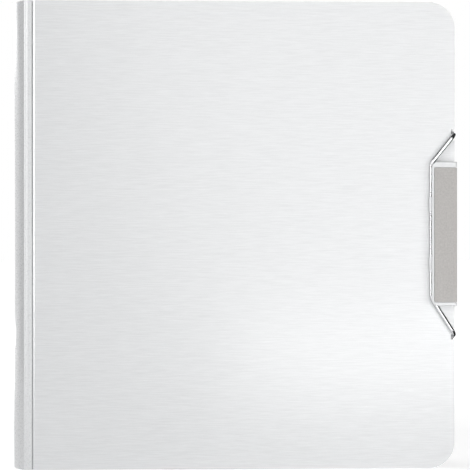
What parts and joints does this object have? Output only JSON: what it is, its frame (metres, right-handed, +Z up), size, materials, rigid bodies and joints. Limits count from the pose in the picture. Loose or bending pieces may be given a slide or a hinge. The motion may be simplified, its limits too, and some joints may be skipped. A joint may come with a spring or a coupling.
{
  "type": "clasp ring binder",
  "caption": "White A4 ring binder with a rounded spine, a finger hole, D-shaped rings inside and a wire clasp with a padded grip at the fore-edge.",
  "frame": {"origin": "bottom centre of the whole binder's box, on the surface that it stands on", "axes": "+Z up along the spine, +X from the spine to the fore-edge, +Y from the front cover to the back cover"},
  "size_m": [0.3026, 0.0628, 0.318],
  "materials": {
    "case_board": "white foamed plastic with fine level brush lines",
    "clasp_frame": "smooth white moulded plastic",
    "clasp_pad": "warm grey soft-touch pad with a fine grain",
    "clasp_wire": "bright chromed spring wire",
    "ring_wire": "bright nickel-plated ring wire",
    "mechanism": "nickel-plated pressed steel",
    "fittings": "zinc-plated steel"
  },
  "bodies": {
    "back_cover": {"back_cover": "case_board", "catch": "fittings", "catch_rivet_1": "fittings", "catch_rivet_2": "fittings", "rail": "mechanism", "rail_rivet_1": "mechanism", "rail_rivet_2": "mechanism"},
    "spine": {"spine": "case_board"},
    "front_cover": {"front_cover": "case_board", "clasp_bracket": "fittings", "clasp_rivet_1": "fittings", "clasp_rivet_2": "fittings"},
    "clasp": {"clasp_wire": "clasp_wire", "clasp_grip": "clasp_frame", "clasp_pad": "clasp_pad"},
    "left_rings": {"leaf_left": "fittings", "ring_1_left": "ring_wire", "ring_2_left": "ring_wire", "ring_3_left": "ring_wire", "ring_4_left": "ring_wire"},
    "right_rings": {"leaf_right": "fittings", "ring_1_right": "ring_wire", "ring_2_right": "ring_wire", "ring_3_right": "ring_wire", "ring_4_right": "ring_wire"},
    "trigger_top": {"trigger_top": "mechanism"},
    "trigger_bottom": {"trigger_bottom": "mechanism"}
  },
  "joints": [
    {"name": "spine_fold", "type": "hinge", "parent": "back_cover", "child": "spine", "pos_m": [-0.13675, 0.0315, 0.159], "axis": [0, 0, -1], "range_deg": [0, 90]},
    {"name": "front_cover_fold", "type": "hinge", "parent": "spine", "child": "front_cover", "pos_m": [-0.13675, -0.0248, 0.159], "axis": [0, 0, -1], "range_deg": [0, 180]},
    {"name": "clasp_swing", "type": "hinge", "parent": "front_cover", "child": "clasp", "pos_m": [0.1343, -0.02645, 0.16], "axis": [0, 0, -1], "range_deg": [0, 105]},
    {"name": "rings_open", "type": "hinge", "parent": "back_cover", "child": "left_rings", "pos_m": [-0.11495, 0.02555, 0.159], "axis": [0, 0, -1], "range_deg": [0, 11]},
    {"name": "right_rings_open", "type": "hinge", "parent": "back_cover", "child": "right_rings", "pos_m": [-0.09055, 0.02555, 0.159], "axis": [0, 0, 1], "range_deg": [0, 11]},
    {"name": "top_trigger_press", "type": "hinge", "parent": "back_cover", "child": "trigger_top", "pos_m": [-0.10275, 0.02695, 0.2976], "axis": [-1, 0, 0], "range_deg": [0, 14.5]},
    {"name": "bottom_trigger_press", "type": "hinge", "parent": "back_cover", "child": "trigger_bottom", "pos_m": [-0.10275, 0.02695, 0.0204], "axis": [1, 0, 0], "range_deg": [0, 14.5]}
  ],
  "couplings": [
    {"joint": "right_rings_open", "follows": "rings_open", "ratio": 1},
    {"joint": "top_trigger_press", "follows": "rings_open", "ratio": 1.3},
    {"joint": "bottom_trigger_press", "follows": "rings_open", "ratio": 1.3}
  ]
}
